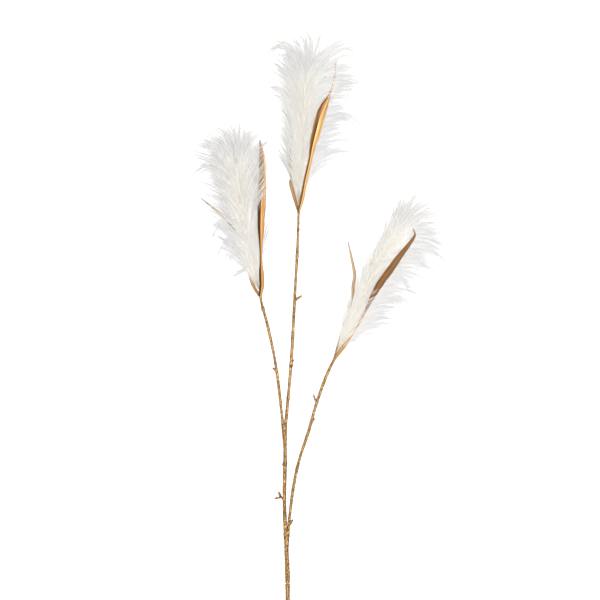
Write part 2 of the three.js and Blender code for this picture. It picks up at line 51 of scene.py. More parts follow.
LOWEST_CORNER = 0.05  # height of the lowest corner of a hair or stem
BUTT_RADIUS = 3.1
BUTT_HEIGHT = BUTT_RADIUS * 1.08  # of the stem's middle at its cut end
BUTT_X = -19.4
CUT_END = -497.0
RISE_END = -97.0  # beyond this the stems run level
LEAF_THICKNESS = 0.6
GOLDEN_ANGLE = math.pi * (3 - math.sqrt(5))
ITEM_TURN = 12.9898  # these three set the noise, as in the CAD model: any uneven numbers would do
SET_TURN = 78.233
NOISE_GAIN = 43758.5453
UP =np.array([0.0, 0.0, 1.0])
TO_CUT_END = np.array([0.0, -1.0, 0.0])


def mix(a, b, t):
    return a + (b - a) * t


def noise(i, number):
    """Repeatable value from 0 to 1 for item i of a numbered set."""
    v = np.sin(i * ITEM_TURN + number * SET_TURN) * NOISE_GAIN
    return v - np.floor(v)


def grains(rng, shape):
    """Sparse grains, even about nought: a random number's cube is a quarter on average."""
    return rng.random(shape) ** 3 - 0.25


def unit(v):
    return v / np.maximum(np.linalg.norm(v, axis=-1, keepdims=True), 1e-12)


def smooth_line(points, per_span):
    """Catmull-Rom points through a list of rows, of any number of columns."""
    p = np.array(points, float)
    p = np.vstack([2 * p[0] - p[1], p, 2 * p[-1] - p[-2]])
    t = np.linspace(0, 1, per_span, endpoint=False)[:, None]
    rows = []
    for a, b, c, d in zip(p, p[1:], p[2:], p[3:]):
        square = 2 * a - 5 * b + 4 * c - d
        cube = 3 * b - a - 3 * c + d
        rows.append(0.5 * (2 * b + (c - a) * t + square * t**2 + cube * t**3))
    return np.vstack(rows + [p[-2][None]])


def distance_along(points):
    """Distance of each point of a line from its first one."""
    return np.concatenate([[0], np.cumsum(np.linalg.norm(np.diff(points, axis=0), axis=1))])


def points_at(line, run, distance):
    """Points of a line at distances from its start, where run is the distance of its own points."""
    return np.column_stack([np.interp(distance, run, column) for column in line.T])


def side_and_up(points):
    """Two directions square to a line at each point: one level, one as upright as it can be."""
    along = unit(np.gradient(points, axis=0))
    side = unit(np.cross(along, UP))
    return side, np.cross(side, along)


def round_angles(sides):
    return np.arange(sides) * 2 * math.pi / sides


def spray_offset():
    """From the lines' own origin to the frame's: the cut end of the lower stem is the mark."""
    same_place = 0.05
    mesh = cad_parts["lower_stem"].data
    points = np.zeros(len(mesh.vertices) * 3)
    mesh.vertices.foreach_get("co", points)
    points = points.reshape(-1, 3) * MM
    low = points[:, 1].min()
    ring = np.unique(np.round(points[points[:, 1] < low + same_place], 3), axis=0)
    return np.array([ring[:, 0].mean() - BUTT_X, low - CUT_END, 0.0])


OFFSET = spray_offset()


# Meshes.


def mesh_object(name, points_mm, faces, uv):
    """A mesh object from points in millimetres and a list of face arrays, each of one corner count."""
    mesh = bpy.data.meshes.new(name)
    points = (np.asarray(points_mm) + OFFSET) / MM
    loops = np.concatenate([f.reshape(-1) for f in faces])
    sizes = np.concatenate([np.full(len(f), f.shape[1]) for f in faces])
    starts = np.concatenate([[0], np.cumsum(sizes)[:-1]])
    mesh.vertices.add(len(points))
    mesh.vertices.foreach_set("co", points.astype(np.float32).reshape(-1))
    mesh.loops.add(len(loops))
    mesh.loops.foreach_set("vertex_index", loops.astype(np.int32))
    mesh.polygons.add(len(sizes))
    mesh.polygons.foreach_set("loop_start", starts.astype(np.int32))
    mesh.polygons.foreach_set("use_smooth", np.ones(len(sizes), bool))
    layer = mesh.uv_layers.new(name="Strand")
    layer.uv.foreach_set("vector", uv[loops].astype(np.float32).reshape(-1))
    mesh.update(calc_edges=True)
    mesh.validate()
    obj = bpy.data.objects.new(name, mesh)
    bpy.context.scene.collection.objects.link(obj)
    return obj


def tube_faces(rings, sides, first=0):
    """Side faces of a tube and its two end caps."""
    r = np.arange(rings - 1)[:, None] * sides
    k = np.arange(sides)[None]
    nxt = (k + 1) % sides
    quads = np.stack([r + k, r + nxt, r + nxt + sides, r + k + sides], axis=-1).reshape(-1, 4) + first
    start = np.arange(sides)[::-1][None] + first
    end = np.arange(sides)[None] + (rings - 1) * sides + first
    return quads, start, end


def above_floor(rings):
    rings[..., 2] = np.maximum(rings[..., 2], LOWEST_CORNER)
    return rings


class Parts:
    """Closed tubes gathered into one mesh. Its UV holds the places along and around each tube."""

    def __init__(self):
        self.points = []
        self.uv = []
        self.faces = {}
        self.count = 0

    def add(self, rings, around=None):
        rings = np.asarray(rings)
        n, sides, _ = rings.shape
        for faces in tube_faces(n, sides, self.count):
            self.faces.setdefault(faces.shape[1], []).append(faces)
        self.points.append(rings.reshape(-1, 3))
        if around is None:
            around = np.linspace(0, 1, sides)
        along = np.linspace(0, 1, n)[:, None] * np.ones((1, sides))
        uv = np.stack([along, np.ones((n, 1)) * around], axis=-1)
        self.uv.append(uv.reshape(-1, 2))
        self.count += n * sides

    def object(self, name):
        faces = [np.vstack(f) for f in self.faces.values()]
        return mesh_object(name, np.vstack(self.points), faces, np.vstack(self.uv))


# Plumes.

# Inner hairs fill the middle of a plume, outer ones reach into its fringe, top ones fan out of its end,
# and wisps are the longer bundles that stand out of it.
# guides or strands: the lines that the hairs follow, per_guide hairs on each, of so many segments
# first: the share of the axis below the lowest root
# cone: the share of the plume's cone that the guides fill, nearest: the empty middle's share, squared
# length: a share of the plume's length, lengths: the guides' own shares of that
# reach: the least share of its guide that a hair covers
# root, apart: the hairs' scatter round a guide at its root, and what is added to that at its tip
# foot, spread: the same for the strands round the middle of a wisp
# shift: the scatter along a guide or wisp
# fringe: the most that a hair takes of the fringe's colour, which is painted shade, tone: how dark and how
# light a hair can be
FINE = dict(segments=8, radius=0.16, root=0.6, apart=-0.35)
INNER = dict(
    guides=1900, per_guide=2, segments=5, radius=0.18, first=0.03, cone=0.72, nearest=0.25, length=0.82,
    lengths=(0.8, 1.0), reach=0.6, root=0.4, apart=0.3, shift=3.0, fringe=1.0, tone=(0.45, 1.0),
)
OUTER = FINE | dict(
    guides=512, per_guide=4, first=0.03, cone=1.0, nearest=0.5, length=0.89, lengths=(0.86, 1.0),
    reach=0.82, shift=2.0, fringe=1.0, tone=(0.3, 1.0),
)
TOP = FINE | dict(
    guides=100, per_guide=5, first=0.84, cone=0.95, nearest=0.01, length=0.84, lengths=(0.8, 1.0),
    reach=0.82, shift=2.0, fringe=0.9, tone=(0.25, 0.85),
)
# The wisps' low tone is painted shade, standing in for the shade within their dense bundles.
WISP = FINE | dict(
    strands=9, per_guide=5, foot=1.0, spread=5.0, reach=0.86, shift=3.0, fringe=0.7, tone=(0.16, 0.3),
)
HAIR_SIDES = 3
HAIR_TAPER = ([0, 0.5, 1], [1.0, 0.9, 0.4])  # share of the length, share of the radius
CORNER_GUIDE = np.array([0.3, 0.2, 1.0])  # the corners round each hair are set out by this direction
DROOP_SWING = 0.05  # share by which the droop of the guides differs
TAILS = 2  # scatter is cut off at this many deviations
GROWTH_STEPS = 24
GROWTH = np.linspace(0, 1, GROWTH_STEPS + 1)[None, :, None]  # share of its guide at each point of a hair
AXIS_STEPS = 40
FRINGE_STEPS = 12
DENSE_EDGE = 0.5  # place in the hair's colours of the edge of the plume's dense middle
FOOT_SHADE = 70.0  # the hair is darker and warmer nearer than this to the plume's foot

# Points of the axis, angle of the cone at its foot and at its top, how much further the hair reaches on
# the right, droop and length of the hair at the foot and at the top, half width of the dense middle
# there, and the number that seeds the plume's random draws.
PLUMES = {
    "left": dict(
        axis=[(-61.5, 12), (-72.5, 60), (-82, 110), (-90, 152), (-96, 192)],
        cone=(19, 42), wing=0.0, droop=(0.012, 0.0095), length=(103, 110), dense=(10, 30), number=11,
    ),
    "centre": dict(
        axis=[(-2.5, 139.5), (-2, 180), (1, 225), (4, 270), (7, 316)],
        cone=(22, 44), wing=0.18, droop=(0.0145, 0.0125), length=(116, 120), dense=(9, 31), number=22,
    ),
    "right": dict(
        axis=[(53.9, -82.5), (71, -44), (91, 0), (114, 46), (140, 92)],
        cone=(23, 33), wing=0.2, droop=(0.0105, 0.0125), length=(98, 110), dense=(11, 30), number=33,
    ),
}

# Longer bundles of hair that stand out of the outline or cross a leaf: share of the axis at the root,
# then points of x, y and height over the axis.
WISPS = {
    "left": [
        (0.3, (-90, 84, 8), (-110, 46, 4)),
        (0.38, (-102, 100, 8), (-126, 62, 2)),
        (0.45, (-112, 118, 4), (-136, 86, 0)),
        (0.9, (-84, 232, 8), (-60, 250, 6)),
        (0.95, (-97, 240, 6), (-112, 268, 2)),
        (0.95, (-108, 240, 4), (-134, 262, 2)),
        (0.92, (-126, 230, -2), (-158, 236, -6)),
        (0.95, (-94, 242, 8), (-92, 270, 4)),
        (0.93, (-87, 236, 8), (-71, 262, 4)),
        (0.93, (-102, 242, 4), (-121, 266, 2)),
        (0.9, (-116, 232, 2), (-146, 250, -2)),
        (0.85, (-128, 204, 4), (-162, 190, -2)),
        (0.12, (-74, 52, 8), (-90, 42, 6), (-106, 36, 2)),
        (0.2, (-60, 74, 4), (-50, 92, 2), (-44, 110, 0)),
        (0.26, (-60, 84, 2), (-52, 100, 0), (-47, 118, 0)),
        (0.48, (-67, 146, 6), (-54, 166, 4)),
        (0.58, (-68, 162, 6), (-54, 184, 4)),
        (0.66, (-69, 178, 6), (-54, 200, 4)),
        (0.74, (-70, 192, 6), (-57, 212, 4)),
        (0.82, (-74, 206, 6), (-61, 225, 4)),
    ],
    "centre": [
        (0.84, (0, 346, 19), (-14, 370, 17), (-32, 381, 14), (-54, 374, 12)),
        (0.82, (-3, 340, 19), (-17, 363, 17), (-34, 375, 14), (-55, 370, 12)),
        (0.86, (2, 350, 19), (-11, 374, 17), (-28, 386, 14), (-50, 381, 12)),
        (0.7, (-16, 326, 16), (-50, 348, 10)),
        (0.9, (10, 366, 12), (8, 388, 8), (-6, 400, 5)),
        (0.97, (2, 374, 8), (-16, 402, 2)),
        (0.97, (14, 380, 4), (8, 412, 0)),
        (0.97, (22, 376, 2), (30, 410, 0)),
        (0.95, (20, 356, 14), (42, 382, 11), (64, 392, 8)),
        (0.95, (22, 350, 14), (46, 376, 11), (66, 385, 8), (84, 380, 6)),
        (0.93, (26, 346, 14), (50, 370, 11), (70, 378, 8), (90, 370, 6)),
        (0.93, (30, 342, 14), (54, 362, 11), (74, 368, 8), (92, 358, 6)),
        (0.88, (50, 348, 10), (86, 360, 2)),
        (0.7, (54, 314, 4), (82, 322, 0)),
        (0.52, (50, 272, 0), (78, 268, -6)),
        (0.58, (-22, 304, 12), (-50, 318, 4)),
    ],
    "right": [
        (0.97, (160, 142, 6), (186, 160, 4)),
        (0.97, (182, 128, 12), (216, 114, 6)),
        (0.96, (150, 138, 2), (152, 162, 0)),
        (0.98, (152, 128, 10), (170, 160, 6)),
        (0.98, (158, 126, 10), (187, 157, 6)),
        (0.98, (162, 122, 10), (199, 149, 6)),
        (0.98, (166, 118, 10), (208, 139, 6)),
        (0.96, (170, 110, 10), (214, 128, 4)),
        (0.08, (66, -62, 4), (90, -54, 0)),
        (0.14, (78, -46, 4), (110, -42, 0)),
        (0.22, (92, -28, 4), (128, -28, 0)),
        (0.32, (106, -8, 4), (142, -14, 0)),
        (0.42, (120, 8, 4), (160, 0, 0)),
        (0.97, (170, 138, 8), (204, 142, 4)),
        (0.8, (164, 66, 6), (190, 44, 2)),
        (0.68, (146, 36, 6), (168, 8, 2)),
    ],
}


def plume_axis(side):
    return smooth_line([(x, y, AXIS_HEIGHT) for x, y in PLUMES[side]["axis"]], AXIS_STEPS)


def pressed(z):
    """Height of a hair that would stand free at z, once the spray lies on the floor."""
    dz = z - AXIS_HEIGHT
    over = AXIS_HEIGHT + CROWN * (1 - np.exp(-np.maximum(dz, 0) / CROWN))
    under = AXIS_HEIGHT * (1 - PRESS * (1 - np.exp(np.minimum(dz, 0) / AXIS_HEIGHT)))
    return np.where(dz >= 0, over, np.maximum(under, LOWEST_LINE))


def places_on_axis(side, share):
    """Points on a plume's axis at shares of its length, and its direction there."""
    axis = plume_axis(side)
    run = distance_along(axis)
    at = share * run[-1]
    before = points_at(axis, run, at - 1)
    after = points_at(axis, run, at + 1)
    return points_at(axis, run, at), unit(after - before)


def guide_lines(side, kind):
    """Lines that the hair follows, as in the CAD locks: set along the axis, turned by the golden angle."""
    plume = PLUMES[side]
    number = plume["number"]
    i = np.arange(kind["guides"])
    f = mix(kind["first"], 1, (i + 0.5) / kind["guides"])
    azimuth = i * GOLDEN_ANGLE
    lean = 1 + plume["wing"] * np.cos(azimuth)
    spread = kind["cone"] * np.sqrt(mix(kind["nearest"], 1, noise(i, number)))
    cone = np.radians(mix(*plume["cone"], f)) * lean * spread
    own_length = mix(*kind["lengths"], noise(i, number + 1))
    length = mix(*plume["length"], f) * own_length * lean * kind["length"]
    own_droop = mix(1 - DROOP_SWING, 1 + DROOP_SWING, noise(i, number + 2))
    droop = mix(*plume["droop"], f) * own_droop * lean
    root, along = places_on_axis(side, f)
    level = unit(np.cross(along, UP))
    out = np.cos(azimuth)[:, None] * level + np.sin(azimuth)[:, None] * UP
    heading = np.cos(cone)[:, None] * along + np.sin(cone)[:, None] * out
    return grown(root + out, heading, length, droop)


def grown(p, v, length, droop):
    """Lines grown from points p in directions v, which droop towards the cut end."""
    step = (length / GROWTH_STEPS)[:, None]
    rows = [p]
    for _ in range(GROWTH_STEPS):
        p = p + v * step
        pull = TO_CUT_END + v * v[:, 1:2]
        v = unit(v + pull * droop[:, None] * step)
        rows.append(p)
    return np.stack(rows, axis=1)


def scatter(rng, spread, shape):
    """Normal scatter without its far tails."""
    return np.clip(rng.normal(0, 1, shape), -TAILS, TAILS) * spread


def hair_lines(side, kind, rng):
    """Fine hairs: each follows a guide and parts from it towards its tip."""
    lines = np.repeat(guide_lines(side, kind), kind["per_guide"], axis=0)
    apart = scatter(rng, kind["root"] + kind["apart"] * GROWTH, (len(lines), 1, 3))
    along = scatter(rng, kind["shift"], (len(lines), 1, 1)) * unit(lines[:, -1:] - lines[:, :1])
    return lines + apart + along


def wisp_lines(side, rng):
    """Hairs of the longer bundles: strands that spread towards the tip, with a few hairs on each."""
    axis = plume_axis(side)
    one_each = (WISP["strands"], 1, 3)
    bundles = []
    for at, *points in WISPS[side]:
        x, y, _ = axis[round(at * (len(axis) - 1))]
        bow = smooth_line([(x, y, 0), *points], GROWTH_STEPS) + UP * AXIS_HEIGHT
        middle = bow[np.linspace(0, len(bow) - 1, GROWTH_STEPS + 1).round().astype(int)]
        apart = scatter(rng, WISP["foot"] + WISP["spread"] * GROWTH, one_each)
        along = scatter(rng, WISP["shift"], (WISP["strands"], 1, 1)) * unit(middle[-1] - middle[0])
        strands = np.repeat(middle[None] + apart + along, WISP["per_guide"], axis=0)
        own = scatter(rng, WISP["root"] + WISP["apart"] * GROWTH, (len(strands), 1, 3))
        bundles.append(strands + own)
    return np.vstack(bundles)


def cut_to_length(lines, kind, rng):
    """Each hair stops short of its guide's end by its own share, in the kind's number of segments."""
    reach = rng.uniform(kind["reach"], 1.0, len(lines))
    stations = np.linspace(0, 1, kind["segments"] + 1)
    at = reach[:, None] * stations * GROWTH_STEPS
    low = np.clip(at.astype(int), 0, GROWTH_STEPS - 1)
    rows = np.arange(len(lines))[:, None]
    return mix(lines[rows, low], lines[rows, low + 1], (at - low)[..., None])


def hair_rings(lines, radius):
    """A few corners round each point of each hair, thin towards the tip."""
    tangent = unit(np.gradient(lines, axis=1))
    a = unit(np.cross(tangent, CORNER_GUIDE))
    b = np.cross(tangent, a)
    taper = np.interp(np.linspace(0, 1, lines.shape[1]), *HAIR_TAPER)
    angles = round_angles(HAIR_SIDES)[:, None]
    ring = a[:, :, None] * np.cos(angles) + b[:, :, None] * np.sin(angles)
    return lines[:, :, None] + ring * (radius * taper)[:, None, None]


def fringe_share(side, lines):
    """How far out of the plume's dense middle each point is: nought at its axis, one well outside."""
    axis = smooth_line(PLUMES[side]["axis"], FRINGE_STEPS)
    flat = lines[..., :2].reshape(-1, 2)
    away = np.linalg.norm(flat[:, None] - axis[None], axis=2)
    width = mix(*PLUMES[side]["dense"], away.argmin(axis=1) / (len(axis) - 1))
    return np.clip(DENSE_EDGE * away.min(axis=1) / width, 0, 1).reshape(lines.shape[:2])


def foot_shade(side, lines):
    """Nought at the plume's foot, one beyond the reach of its shade."""
    foot = np.array(PLUMES[side]["axis"][0], float)
    return np.clip(np.linalg.norm(lines[..., :2] - foot, axis=2) / FOOT_SHADE, 0, 1)


def hair_object(name, lines, radius, depth, shade):
    """Hairs as thin tubes. Their UV holds the depth in the fringe and the shade of each point."""
    n, m, _ = lines.shape
    rings = above_floor(hair_rings(lines, radius))
    quads, start, end = tube_faces(m, HAIR_SIDES)
    shift = (np.arange(n) * m * HAIR_SIDES)[:, None, None]
    caps = np.vstack([(cap + shift).reshape(-1, HAIR_SIDES) for cap in (start, end)])
    uv = np.repeat(np.stack([depth, shade], axis=-1).reshape(-1, 2), HAIR_SIDES, axis=0)
    return mesh_object(name, rings.reshape(-1, 3), [(quads + shift).reshape(-1, 4), caps], uv)


# Leaves.

# Direction of the fold, then rows of x, y, height over the axis, half width and fold depth, foot first.
LEAVES = {
    "left_broad": (1, [
        (-60.2, 5, 3.9, 1.9, 1.6), (-58, 21, 5.5, 3.6, 2), (-58.2, 36, 9, 3.8, 2),
        (-59, 60, 14, 2, 1.2), (-59, 84, 17.5, 2.6, 1.6), (-58.8, 116, 21, 5.4, 2.8),
        (-57.4, 160, 20, 5.9, 3), (-56.7, 195, 16, 5.6, 2.4), (-57.6, 218, 13, 3.8, 1.6),
        (-60.6, 239, 11, 0.7, 0.4),
    ]),
    "left_narrow": (-1, [
        (-61.8, 6, -4, 1.8, 1.4), (-73.4, 29, -6, 2.6, 1.4), (-85, 84, -4, 2.4, 1),
        (-97, 104, 2, 2.2, 0.9), (-112.8, 123, 6, 1.9, 0.7), (-149, 152.5, 8, 0.6, 0.3),
    ]),
    "centre_broad": (1, [
        (-2.2, 133, 3.9, 1.9, 1.6), (3.2, 155, 8, 3.3, 2), (8.2, 182, 13, 3, 1.8),
        (14.4, 209, 18.5, 3, 1.8), (18.5, 230, 21, 4.8, 2.6), (24.6, 254, 23, 6.6, 3),
        (30.5, 276, 24, 6.7, 3), (36.5, 291, 22.5, 5, 2.2), (45, 309, 19.5, 1.6, 0.8),
        (51, 334, 14.5, 1.1, 0.5), (53.4, 358, 11, 0.6, 0.3),
    ]),
    "centre_narrow": (-1, [
        (-3.4, 134, -4, 1.8, 1.4), (-13.3, 171, -5, 3.2, 1.4), (-12.6, 184, 0, 3, 1.4),
        (-15, 201, 3, 2.4, 1), (-14.9, 220, 2, 1.6, 0.8), (-12.5, 246, 0, 0.6, 0.3),
    ]),
    "right_broad": (1, [
        (52.4, -87, 3.9, 1.9, 1.6), (64.5, -70, 7, 2.8, 1.8), (75, -54, 10, 1.9, 1.4),
        (87.5, -34, 13.5, 1.6, 1), (98, -14, 16.5, 2, 1.2), (110.5, 11, 20, 4.2, 2.2),
        (121, 28, 22, 5.3, 2.6), (133.5, 45, 22.5, 5.1, 2.4), (148, 65.5, 21, 4.3, 1.8),
        (162, 83, 18, 2.9, 1.1), (170.5, 96.5, 16, 1.6, 0.8), (168.2, 106.5, 15, 0.6, 0.3),
    ]),
    "right_narrow": (-1, [
        (51.4, -87.5, -4, 1.8, 1.4), (61.4, -52, -5, 2.2, 1.2), (77, -6, -3, 2, 0.9),
        (79.2, 22, 2, 2.3, 0.9), (81.3, 38.6, 4, 2.4, 0.9), (76.4, 64, 7, 1.7, 0.6),
        (70.8, 89, 9, 0.6, 0.3),
    ]),
}
LEAF_STEPS = 12
LEAF_POINTS = 13  # across each face of a blade
LEAST_HALF_WIDTH = 0.35
EDGE_WAVES = ((0.04, 31, 0), (0.03, 73, 1))  # share of the half width, radians along the leaf, phase
RIBS = 6
RIB_HEIGHT = 0.16
RIPPLE_HEIGHT = 0.25  # at the blade's edges
RIPPLE = 47  # radians along the leaf
FULL_RELIEF = 4  # half width below which the ribs and ripples fade

# Share of the hair that crosses over a broad leaf: places from its foot to its tip, and the shares there.
VEIL = {
    "left": ([0, 0.56, 0.64, 1], [0.0, 0.0, 0.1, 0.16]),
    "centre": ([0, 0.1, 0.75, 0.82, 1], [0.02, 0.0, 0.0, 0.45, 0.8]),
    "right": ([0, 0.2, 0.42, 0.5, 1], [0.03, 0.10, 0.05, 0.0, 0.0]),
}
CROSSED_LEAF = "left"  # the broad leaf that every wisp crosses where hair veils it
VEIL_LIFT = (0.8, 4.0)  # least and most that the hair of the veil clears a leaf by
PARTING_STEPS = 10
PARTING_MARGIN = 2.5  # how near a leaf hair gives way to it, and how far below it the hair then runs


def leaf_spine(rows, per_row):
    spine = smooth_line(rows, per_row)
    spine[:, 2] += AXIS_HEIGHT
    spine[:, 3] = np.maximum(spine[:, 3], LEAST_HALF_WIDTH)
    return spine


def part_hair(lines, side, kind, rng):
    """Hair over a broad leaf is pressed under it, apart from the share that veils it."""
    spine = leaf_spine(LEAVES[side + "_broad"][1], PARTING_STEPS)
    veil = np.interp(np.linspace(0, 1, len(spine)), *VEIL[side])
    chance = rng.random(len(lines))
    if kind is WISP and side == CROSSED_LEAF:
        chance[:] = 0
    lift = rng.uniform(*VEIL_LIFT, len(lines))
    flat = lines.reshape(-1, 3)
    away = np.linalg.norm(flat[:, None, :2] - spine[None, :, :2], axis=2) - spine[None, :, 3]
    nearest = away.argmin(axis=1)
    near = away.min(axis=1) < PARTING_MARGIN
    each_point = lines.shape[1]
    over = np.repeat(chance, each_point) < veil[nearest]
    z = flat[:, 2]
    top = spine[nearest, 2]
    under_leaf = np.minimum(z, top - PARTING_MARGIN - LEAF_THICKNESS)
    over_leaf = np.maximum(z, top + spine[nearest, 4] / 2 + np.repeat(lift, each_point))
    z = np.where(near, np.where(over, over_leaf, under_leaf), z)
    lines[..., 2] = z.reshape(lines.shape[:2])


def leaf_object(name, fold, rows):
    """A folded blade with lengthwise ribs, slight ripples and wavy edges."""
    spine = leaf_spine(rows, LEAF_STEPS)
    side, up = side_and_up(spine[:, :3])
    s = np.linspace(-1, 1, LEAF_POINTS)
    t = np.linspace(0, 1, len(spine))
    half = spine[:, 3] * (1 + sum(size * np.sin(waves * t + phase) for size, waves, phase in EDGE_WAVES))
    relief = np.minimum(1, half / FULL_RELIEF)[:, None]
    ribs = RIB_HEIGHT * np.cos(s * math.pi * RIBS)
    shape = fold * (spine[:, 4:5] * (0.5 - np.abs(s)) + ribs * relief)
    ripple = RIPPLE_HEIGHT * np.sin(t * RIPPLE)[:, None] * s**2 * relief
    across = s * half[:, None]
    flat = spine[:, None, :3] + side[:, None] * across[..., None]
    height = shape + ripple
    upper = flat + up[:, None] * (height + LEAF_THICKNESS / 2)[..., None]
    lower = flat + up[:, None] * (height - LEAF_THICKNESS / 2)[..., None]
    share = (s + 1) / 2
    parts = Parts()
    parts.add(np.concatenate([upper, lower[:, ::-1]], axis=1), np.concatenate([share, share[::-1]]))
    return parts.object(name)


# Stems.

WRAP = 1.1  # times its own radius is a stem's radius with the glitter on it
RING_GAP = 1.1  # along a stem
STEM_STEPS = 20
SLEEVE_STEPS = 10
TWIG_STEPS = 7

# Ridges wind round a stem, and finer ones cross them. Turns are in radians for each millimetre, and the
# ridges' height is a share of the radius. So is the grains' on a sleeve: elsewhere it is in millimetres.
WIDE_RIDGES = 2
WIDE_SHARE = 0.5
FINE_RIDGES = 5
FINE_SHARE = 0.35
FINE_TURN = 0.22
STEM_TURN = math.radians(30) / 14
SLEEVE_RIDGES = 3
STEM_FINISH = dict(sides=22, ridges=0.14, turn=STEM_TURN, grain=0.4)
TWIG_FINISH = dict(sides=12, ridges=0.12, turn=0.2, grain=0.3)
CUP_FINISH = dict(sides=20, ridges=0.05, turn=0.1, grain=0.2)
SLEEVE_FINISH = dict(sides=26, ridges=0.05, turn=0.3, grain=0.07)

# The cup that holds a plume's foot: distances from the foot along the axis, and shares of its radius.
CUP_RADIUS = 2.7
CUP_RINGS = 16
CUP_DISTANCES = [-12, -7.2, -3, 1.5]
CUP_SHARES = [0.6, 0.75, 1, 0.93]

# Each stem has a span of y, a line of (y, x) and radii of (y, radius) from its cut end up, swellings of
# (y, added radius, half length), sleeves in rows of (y, x, half width, half height), and twigs and buds
# in rows of (x, y, height over the stem, radius), foot first.
MAIN_LINE = [
    (CUT_END, BUTT_X), (-450, -19.2), (-408, -19.7), (-352, -22.3), (-303, -24.1), (-240, -23),
    (-195, -22.6), (-156, -19.2), (-93, -13.8), (-30, -10.2), (22, -7.5), (85, -4), (139.5, -2.5),
]
STEMS = {
    "main_stem": dict(
        seed=101,
        span=(-427.5, 139.5),
        line=MAIN_LINE,
        radii=[
            (-427, 2.8), (-421, 3.2), (-380, 3.2), (-366, 2.55), (-200, 2.45), (-190, 2), (-60, 2),
            (60, 1.75), (139.5, 1.5),
        ],
        swellings=[
            (-412, 0.6, 2), (-397, 0.35, 3), (-245, 0.5, 4), (-147, 0.6, 2.5), (-98, 0.5, 2.5),
            (-56, 0.6, 3), (-50, 0.5, 3), (66, 0.5, 4), (106, 0.6, 1.5),
        ],
        sleeves=[
            [(-384, -20.8, 3.2, 3.2), (-376, -20.9, 3.3, 3.3), (-367, -20.9, 3.6, 3.4),
             (-359, -20.9, 4.3, 3.5), (-352, -20.8, 4.8, 3.5), (-349, -20.6, 4.6, 3)],
            [(-226, -22.9, 2.4, 2.4), (-212, -23.4, 3.2, 2.9), (-202, -23.9, 3.6, 3),
             (-191, -24.3, 4.1, 2.8), (-188, -24.3, 3.8, 2.4)],
        ],
        cup="centre",
        twigs=[
            [(-8.6, -1.4, 0, 1.3), (-4.6, 1.9, 0.8, 1.9), (-1, 4.4, 1.3, 1.7), (2.4, 6.8, 1.5, 0.8)],
            [(-10.6, -53, 0, 1.4), (-12.5, -50.2, 0.4, 1)],
            [(-13.6, -93.5, 0, 1.1), (-11.2, -91.4, 1.6, 1.2), (-9.6, -89.4, 2.4, 0.9)],
            [(-14.4, -96.5, 0, 1), (-17, -98.2, 0.5, 0.7)],
            [(-12.6, -97.6, 0, 0.9), (-10.8, -99.6, 0.6, 0.7)],
            [(-23.6, -303, 0, 1.2), (-27.6, -298, 0.8, 1.3), (-31, -293, 1.3, 1.8),
             (-32.3, -288.6, 1.5, 1)],
            [(-29, -297, 1, 1.2), (-34.4, -297.8, 1.4, 1.6), (-38.9, -298.6, 1.6, 0.9)],
            [(-22.8, -252, 0, 1.3), (-25.2, -248.8, 0.5, 1.7), (-27.4, -246.2, 0.8, 0.8)],
        ],
    ),
    "left_branch": dict(
        seed=102,
        span=(-207, 12),
        line=[
            (-207, -24.9), (-193, -26.2), (-177, -27.4), (-156, -29.6), (-114, -34.5), (-72, -41.7),
            (-30, -51.3), (-9, -57.2), (12, -61.6),
        ],
        radii=[(-194, 1.2), (-188, 1.8), (-9, 1.85), (12, 1.65)],
        swellings=[(-153, 0.5, 2.5), (-108, 0.3, 3), (-13, 0.9, 2.5)],
        cup="left",
        twigs=[[(-35.8, -107, 0, 1.4), (-38.6, -104.4, 0.6, 1.7), (-41.9, -101.5, 1, 0.8)]],
    ),
    "right_branch": dict(
        seed=103,
        span=(-366, -82.5),
        line=[
            (-366, -20), (-351, -18.6), (-345, -17.8), (-324, -16), (-282, -10.6), (-240, -1.6),
            (-198, 12), (-156, 24), (-114, 38.9), (-82.5, 53.9),
        ],
        radii=[(-354, 1.25), (-347, 1.8), (-324, 2), (-240, 2), (-114, 1.95), (-82.5, 1.7)],
        swellings=[(-253, 0.5, 3), (-182, 0.3, 3), (-154, 0.4, 3)],
        cup="right",
        twigs=[
            [(25.2, -155.5, 0, 1.3), (22.2, -149.5, 0.7, 1.6), (20.6, -145, 1, 1.2),
             (19.3, -140.8, 1.2, 0.6)],
            [(16.8, -183, 0, 1.4), (19.4, -180, 0.6, 1.6), (21.7, -177.6, 0.9, 0.8)],
            [(-5, -254.4, 0, 1.1), (-7.4, -252.6, 0.4, 0.8)],
            [(-16.4, -339, 0, 1.4), (-14, -334.8, 0.7, 2), (-11.2, -330.8, 1, 1.1)],
        ],
    ),
    "lower_stem": dict(
        seed=104,
        span=(CUT_END, -429),
        line=MAIN_LINE,
        radii=[(CUT_END, BUTT_RADIUS)],
        swellings=[(-431, 0.25, 3)],
    ),
}


def stem_height(y):
    """Height of a stem's middle: low at the cut end, up to the plumes' axes."""
    t = np.clip((y - CUT_END) / (RISE_END - CUT_END), 0, 1)
    return mix(BUTT_HEIGHT, AXIS_HEIGHT, t * t * (3 - 2 * t))


def round_rings(points, radii, finish, rng):
    """Rings round a line. Ridges wind round it, and grains roughen it."""
    points = np.asarray(points, float)
    side, up = side_and_up(points)
    angle = round_angles(finish["sides"])
    run = distance_along(points)[:, None]
    wide = WIDE_SHARE * np.cos(WIDE_RIDGES * (angle - finish["turn"] * run))
    fine = FINE_SHARE * np.cos(FINE_RIDGES * (angle + FINE_TURN * run))
    radius = np.asarray(radii)[:, None] * (1 + finish["ridges"] * (wide + fine))
    radius = radius + finish["grain"] * grains(rng, radius.shape)
    c = np.cos(angle)[:, None] * side[:, None]
    s = np.sin(angle)[:, None] * up[:, None]
    return points[:, None] + radius[..., None] * (c + s)


